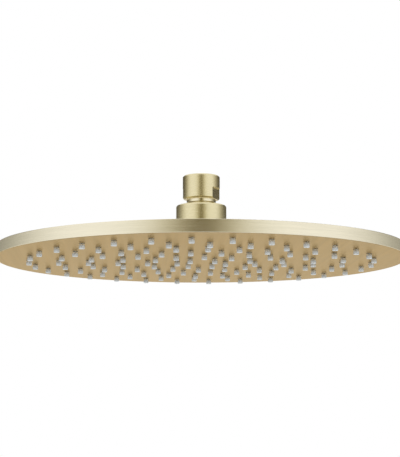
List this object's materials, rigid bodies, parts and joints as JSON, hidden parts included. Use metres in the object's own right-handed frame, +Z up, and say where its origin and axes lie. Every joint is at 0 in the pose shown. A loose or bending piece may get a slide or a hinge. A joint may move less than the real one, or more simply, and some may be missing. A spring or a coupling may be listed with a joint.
{
  "type": "shower head",
  "caption": "Round flat overhead shower head with rings of rubber nozzles, a plain rim and a swivelling ball inlet with a threaded nut.",
  "frame": {"origin": "centre of the inlet thread's mouth, on the flat top of the inlet nut", "axes": "+Z up along the inlet, out of its mouth; -Y towards the front, where the middle ring of nozzles next to the innermost has one nozzle"},
  "size_m": [0.3, 0.3, 0.0674],
  "materials": {
    "brushed_brass": "brushed, satin",
    "nozzle_rubber": "milky translucent",
    "black_rubber": "matte",
    "stainless_steel": "satin",
    "white_plastic": "moulded",
    "grey_plastic": "moulded"
  },
  "bodies": {
    "inlet": {"ball_connector": "brushed_brass", "inlet_washer": "black_rubber", "filter_screen": "stainless_steel", "regulator_body": "grey_plastic", "flow_ring": "black_rubber", "regulator_seal": "black_rubber"},
    "cup_carrier": {"ball_seal": "black_rubber"},
    "ring_carrier": {"friction_ring": "white_plastic"},
    "head": {"collar_nut": "brushed_brass", "swivel_hub": "brushed_brass", "hub_gasket": "black_rubber", "hub_washer": "stainless_steel", "hub_locknut": "brushed_brass", "rear_cover": "brushed_brass", "cover_screws": "brushed_brass", "chamber_seal": "black_rubber", "backing_plate": "white_plastic", "plate_screws": "stainless_steel", "nozzle_mat": "nozzle_rubber", "face_plate": "brushed_brass"}
  },
  "joints": [
    {"name": "tilt_front_back", "type": "hinge", "parent": "inlet", "child": "cup_carrier", "pos_m": [0, 0, -0.0318], "axis": [1, 0, 0], "range_deg": [-12, 12]},
    {"name": "tilt_sideways", "type": "hinge", "parent": "cup_carrier", "child": "ring_carrier", "pos_m": [0, 0, -0.0318], "axis": [0, 1, 0], "range_deg": [-12, 12]},
    {"name": "head_spin", "type": "hinge", "parent": "ring_carrier", "child": "head", "pos_m": [0, 0, -0.0318], "axis": [0, 0, 1], "continuous": true}
  ]
}
